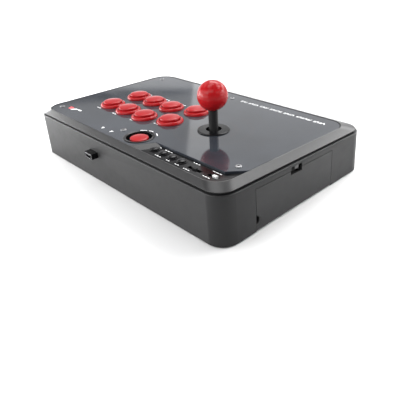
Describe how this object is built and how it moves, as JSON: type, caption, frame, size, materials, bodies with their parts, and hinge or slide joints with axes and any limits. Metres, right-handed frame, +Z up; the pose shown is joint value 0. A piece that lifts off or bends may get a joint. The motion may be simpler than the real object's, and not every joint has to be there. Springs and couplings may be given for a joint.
{
  "type": "arcade joystick panel",
  "caption": "Tabletop arcade panel with a ball-top stick, round push buttons, a sunken control strip, a guarded start button and a side hatch for the cable.",
  "frame": {"origin": "centre of the case's underside, on the surface that the rubber feet stand on", "axes": "+X to the player's right, along the long side; +Y away from the player; +Z up"},
  "size_m": [0.36, 0.2404, 0.1209],
  "materials": {
    "case_plastic": "black, satin, fine moulded grain",
    "bezel_plastic": "black, satin",
    "panel_art": "clear acrylic over a dark printed sheet",
    "black_plastic": "glossy moulded",
    "inner_plastic": "matt moulded",
    "tray_plastic": "matt moulded",
    "red_plastic": "glossy moulded",
    "strip_plastic": "black, glossy",
    "knob_plastic": "satin moulded",
    "plate_steel": "black powder coat",
    "bright_steel": "zinc plated",
    "screw_steel": "nickel plated",
    "circuit_board": "solder mask",
    "foot_rubber": "matt",
    "connector_metal": "stamped, plated"
  },
  "bodies": {
    "case": {"lower_case": "case_plastic", "top_bezel": "bezel_plastic", "panel_plate": "plate_steel", "acrylic_cover": "panel_art", "control_strip": "strip_plastic", "strip_pcb": "circuit_board", "tact_switches": "inner_plastic", "slide_switch_bodies": "connector_metal", "start_guard_ring": "black_plastic", "start_housing": "black_plastic", "button_microswitches": "inner_plastic", "stick_mount_plate": "bright_steel", "stick_mount_nuts": "bright_steel", "stick_housing": "inner_plastic", "restrictor_gate": "inner_plastic", "stick_microswitches": "inner_plastic", "dust_washer": "black_plastic", "cable_tray": "tray_plastic", "rear_port_housing": "black_plastic", "usb_shell": "connector_metal", "usb_tongue": "inner_plastic", "weight_plate": "bright_steel", "main_pcb": "circuit_board", "panel_screws": "screw_steel", "base_screws": "screw_steel", "rubber_feet": "foot_rubber", "button_housing_1": "red_plastic", "button_housing_2": "red_plastic", "button_housing_3": "red_plastic", "button_housing_4": "red_plastic", "button_housing_5": "red_plastic", "button_housing_6": "red_plastic", "button_housing_7": "red_plastic", "button_housing_8": "red_plastic"},
    "button_1": {"button_plunger_1": "red_plastic"},
    "button_2": {"button_plunger_2": "red_plastic"},
    "button_3": {"button_plunger_3": "red_plastic"},
    "button_4": {"button_plunger_4": "red_plastic"},
    "button_5": {"button_plunger_5": "red_plastic"},
    "button_6": {"button_plunger_6": "red_plastic"},
    "button_7": {"button_plunger_7": "red_plastic"},
    "button_8": {"button_plunger_8": "red_plastic"},
    "start_button": {"start_plunger": "red_plastic"},
    "strip_key_1": {"strip_button_1": "black_plastic"},
    "strip_key_2": {"strip_button_2": "black_plastic"},
    "strip_key_3": {"strip_button_3": "black_plastic"},
    "strip_key_4": {"strip_button_4": "black_plastic"},
    "mode_slider": {"mode_knob": "black_plastic"},
    "power_slider": {"power_knob": "knob_plastic"},
    "gimbal": {"pivot_gimbal": "inner_plastic"},
    "stick": {"stick_shaft": "bright_steel", "shaft_cover": "black_plastic", "ball_top": "red_plastic", "stick_actuator": "inner_plastic", "e_clip": "bright_steel", "stick_spring": "bright_steel"},
    "hatch": {"hatch_door": "case_plastic", "hatch_pins": "bright_steel", "cable_grommet": "foot_rubber"},
    "latch": {"hatch_latch": "tray_plastic"}
  },
  "joints": [
    {"name": "button_1_press", "type": "slide", "parent": "case", "child": "button_1", "axis": [0, 0.036, -0.9994], "range_m": [0, 0.003], "stiffness_N_per_m": 150, "springref_m": -0.0033},
    {"name": "button_2_press", "type": "slide", "parent": "case", "child": "button_2", "axis": [0, 0.036, -0.9994], "range_m": [0, 0.003], "stiffness_N_per_m": 150, "springref_m": -0.0033},
    {"name": "button_3_press", "type": "slide", "parent": "case", "child": "button_3", "axis": [0, 0.036, -0.9994], "range_m": [0, 0.003], "stiffness_N_per_m": 150, "springref_m": -0.0033},
    {"name": "button_4_press", "type": "slide", "parent": "case", "child": "button_4", "axis": [0, 0.036, -0.9994], "range_m": [0, 0.003], "stiffness_N_per_m": 150, "springref_m": -0.0033},
    {"name": "button_5_press", "type": "slide", "parent": "case", "child": "button_5", "axis": [0, 0.036, -0.9994], "range_m": [0, 0.003], "stiffness_N_per_m": 150, "springref_m": -0.0033},
    {"name": "button_6_press", "type": "slide", "parent": "case", "child": "button_6", "axis": [0, 0.036, -0.9994], "range_m": [0, 0.003], "stiffness_N_per_m": 150, "springref_m": -0.0033},
    {"name": "button_7_press", "type": "slide", "parent": "case", "child": "button_7", "axis": [0, 0.036, -0.9994], "range_m": [0, 0.003], "stiffness_N_per_m": 150, "springref_m": -0.0033},
    {"name": "button_8_press", "type": "slide", "parent": "case", "child": "button_8", "axis": [0, 0.036, -0.9994], "range_m": [0, 0.003], "stiffness_N_per_m": 150, "springref_m": -0.0033},
    {"name": "start_button_press", "type": "slide", "parent": "case", "child": "start_button", "axis": [0, 0.036, -0.9994], "range_m": [0, 0.003], "stiffness_N_per_m": 150, "springref_m": -0.0033},
    {"name": "strip_key_1_press", "type": "slide", "parent": "case", "child": "strip_key_1", "axis": [0, 0.036, -0.9994], "range_m": [0, 0.0008], "stiffness_N_per_m": 400, "springref_m": -0.0025},
    {"name": "strip_key_2_press", "type": "slide", "parent": "case", "child": "strip_key_2", "axis": [0, 0.036, -0.9994], "range_m": [0, 0.0008], "stiffness_N_per_m": 400, "springref_m": -0.0025},
    {"name": "strip_key_3_press", "type": "slide", "parent": "case", "child": "strip_key_3", "axis": [0, 0.036, -0.9994], "range_m": [0, 0.0008], "stiffness_N_per_m": 400, "springref_m": -0.0025},
    {"name": "strip_key_4_press", "type": "slide", "parent": "case", "child": "strip_key_4", "axis": [0, 0.036, -0.9994], "range_m": [0, 0.0008], "stiffness_N_per_m": 400, "springref_m": -0.0025},
    {"name": "mode_slide", "type": "slide", "parent": "case", "child": "mode_slider", "axis": [1, 0, 0], "range_m": [-0.0065, 0.0065]},
    {"name": "power_slide", "type": "slide", "parent": "case", "child": "power_slider", "axis": [1, 0, 0], "range_m": [-0.0013, 0.006]},
    {"name": "stick_forward_back", "type": "hinge", "parent": "case", "child": "gimbal", "pos_m": [-0.066, 0.01546, 0.04895], "axis": [1, 0, 0], "range_deg": [-8.5, 8.5], "stiffness_Nm_per_rad": 0.9},
    {"name": "stick_left_right", "type": "hinge", "parent": "gimbal", "child": "stick", "pos_m": [-0.066, 0.01546, 0.04895], "axis": [0, 0.9994, 0.036], "range_deg": [-8.5, 8.5], "stiffness_Nm_per_rad": 0.9},
    {"name": "hatch_hinge", "type": "hinge", "parent": "case", "child": "hatch", "pos_m": [-0.1774, 0.0078, 0.0036], "axis": [0, -1, 0], "range_deg": [0, 85]},
    {"name": "hatch_latch_push", "type": "slide", "parent": "case", "child": "latch", "axis": [1, 0, 0], "range_m": [0, 0.002], "stiffness_N_per_m": 800, "springref_m": -0.0005}
  ]
}
